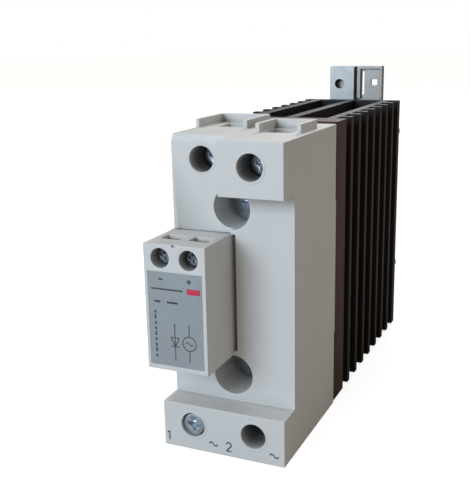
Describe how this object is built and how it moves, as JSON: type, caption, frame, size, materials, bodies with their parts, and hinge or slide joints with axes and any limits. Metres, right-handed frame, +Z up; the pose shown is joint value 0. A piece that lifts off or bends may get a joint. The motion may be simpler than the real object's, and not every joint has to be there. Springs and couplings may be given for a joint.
{
  "type": "solid state relay",
  "caption": "Solid state relay on a finned heatsink, with a plug-in control module, clamp terminals and a sprung latch for a 35 mm top-hat rail.",
  "frame": {"origin": "on the underside of the housing, in the middle of the width and of the whole depth", "axes": "+X to the right seen from the front, +Y from the front towards the rail, +Z up"},
  "size_m": [0.045, 0.173, 0.124],
  "materials": {
    "black_anodised_aluminium": "black anodised",
    "thermal_pad_silicone": "matte",
    "nickel_plate": "nickel plated copper",
    "white_ceramic": "fired ceramic",
    "copper": "bare copper",
    "silicon": "polished die",
    "black_plastic": "glass filled",
    "plated_steel": "nickel plated",
    "circuit_board": "solder mask",
    "white_resin": "moulded",
    "blue_resin": "dipped",
    "gold_contact": "gold flash",
    "yellow_resin": "dipped",
    "cement": "cement coated",
    "grey_plastic": "light grey, fine moulded texture",
    "zinc_steel": "blue zinc plated",
    "label_film": "printed film",
    "red_lens": "translucent",
    "led_resin": "clear resin",
    "zinc_sheet": "zinc plated sheet",
    "spring_steel": "drawn wire"
  },
  "bodies": {
    "relay": {"heatsink": "black_anodised_aluminium", "thermal_pad": "thermal_pad_silicone", "power_base_plate": "nickel_plate", "ceramic_substrate": "white_ceramic", "copper_pads": "copper", "thyristor_chips": "silicon", "cross_straps": "copper", "stage_frame": "black_plastic", "line_busbar": "copper", "load_busbar": "copper", "terminal_cages": "plated_steel", "trigger_board": "circuit_board", "optocoupler": "white_resin", "gate_resistors": "blue_resin", "gate_pins": "gold_contact", "snubber_capacitor": "yellow_resin", "snubber_resistor": "cement", "varistor": "blue_resin", "housing": "grey_plastic", "mounting_screws": "zinc_steel", "spring_washers": "zinc_steel", "din_bracket": "zinc_sheet", "bracket_screws": "zinc_steel", "latch_spring": "spring_steel", "control_socket": "black_plastic"},
    "control_module": {"control_housing": "grey_plastic", "control_cover": "grey_plastic", "control_label": "label_film", "status_light_pipe": "red_lens", "status_led": "led_resin", "control_board": "circuit_board", "control_contacts": "gold_contact", "control_cages": "plated_steel", "plug_pins": "gold_contact"},
    "rail_latch": {"din_latch": "zinc_sheet"},
    "top_left_clamp": {"top_left_pad": "plated_steel"},
    "top_left_clamp_screw": {"top_left_screw": "zinc_steel"},
    "top_right_clamp": {"top_right_pad": "plated_steel"},
    "top_right_clamp_screw": {"top_right_screw": "zinc_steel"},
    "bottom_left_clamp": {"bottom_left_pad": "plated_steel"},
    "bottom_left_clamp_screw": {"bottom_left_screw": "zinc_steel"},
    "bottom_right_clamp": {"bottom_right_pad": "plated_steel"},
    "bottom_right_clamp_screw": {"bottom_right_screw": "zinc_steel"},
    "control_left_clamp": {"control_left_pad": "plated_steel"},
    "control_left_clamp_screw": {"control_left_screw": "zinc_steel"},
    "control_right_clamp": {"control_right_pad": "plated_steel"},
    "control_right_clamp_screw": {"control_right_screw": "zinc_steel"}
  },
  "joints": [
    {"name": "control_module_plug", "type": "slide", "parent": "relay", "child": "control_module", "axis": [0, -1, 0], "range_m": [0, 0.014]},
    {"name": "rail_latch_release", "type": "slide", "parent": "relay", "child": "rail_latch", "axis": [0, 0, -1], "range_m": [0, 0.004], "stiffness_N_per_m": 2000, "springref_m": -0.003, "deforming": ["latch_spring"]},
    {"name": "top_left_pad_travel", "type": "slide", "parent": "relay", "child": "top_left_clamp", "axis": [0, 1, 0], "range_m": [-0.0095, 0]},
    {"name": "top_left_screw_turn", "type": "hinge", "parent": "top_left_clamp", "child": "top_left_clamp_screw", "pos_m": [-0.01125, -0.0515, 0.0998], "axis": [0, 1, 0], "range_deg": [-3425, 0]},
    {"name": "top_right_pad_travel", "type": "slide", "parent": "relay", "child": "top_right_clamp", "axis": [0, 1, 0], "range_m": [-0.0095, 0]},
    {"name": "top_right_screw_turn", "type": "hinge", "parent": "top_right_clamp", "child": "top_right_clamp_screw", "pos_m": [0.01125, -0.0515, 0.0998], "axis": [0, 1, 0], "range_deg": [-3425, 0]},
    {"name": "bottom_left_pad_travel", "type": "slide", "parent": "relay", "child": "bottom_left_clamp", "axis": [0, 1, 0], "range_m": [0, 0.0095]},
    {"name": "bottom_left_screw_turn", "type": "hinge", "parent": "bottom_left_clamp", "child": "bottom_left_clamp_screw", "pos_m": [-0.01125, -0.0515, 0.0092], "axis": [0, 1, 0], "range_deg": [0, 3425]},
    {"name": "bottom_right_pad_travel", "type": "slide", "parent": "relay", "child": "bottom_right_clamp", "axis": [0, 1, 0], "range_m": [-0.0095, 0]},
    {"name": "bottom_right_screw_turn", "type": "hinge", "parent": "bottom_right_clamp", "child": "bottom_right_clamp_screw", "pos_m": [0.01125, -0.0515, 0.0092], "axis": [0, 1, 0], "range_deg": [-3425, 0]},
    {"name": "control_left_pad_travel", "type": "slide", "parent": "control_module", "child": "control_left_clamp", "axis": [0, 1, 0], "range_m": [-0.0035, 0]},
    {"name": "control_left_screw_turn", "type": "hinge", "parent": "control_left_clamp", "child": "control_left_clamp_screw", "pos_m": [-0.0158, -0.0765, 0.0712], "axis": [0, 1, 0], "range_deg": [-2524, 0]},
    {"name": "control_right_pad_travel", "type": "slide", "parent": "control_module", "child": "control_right_clamp", "axis": [0, 1, 0], "range_m": [-0.0035, 0]},
    {"name": "control_right_screw_turn", "type": "hinge", "parent": "control_right_clamp", "child": "control_right_clamp_screw", "pos_m": [-0.0056, -0.0765, 0.0712], "axis": [0, 1, 0], "range_deg": [-2524, 0]}
  ],
  "couplings": [
    {"joint": "top_left_screw_turn", "follows": "top_left_pad_travel", "rad_per_m": 6283.2},
    {"joint": "top_right_screw_turn", "follows": "top_right_pad_travel", "rad_per_m": 6283.2},
    {"joint": "bottom_left_screw_turn", "follows": "bottom_left_pad_travel", "rad_per_m": 6283.2},
    {"joint": "bottom_right_screw_turn", "follows": "bottom_right_pad_travel", "rad_per_m": 6283.2},
    {"joint": "control_left_screw_turn", "follows": "control_left_pad_travel", "rad_per_m": 12566},
    {"joint": "control_right_screw_turn", "follows": "control_right_pad_travel", "rad_per_m": 12566}
  ]
}
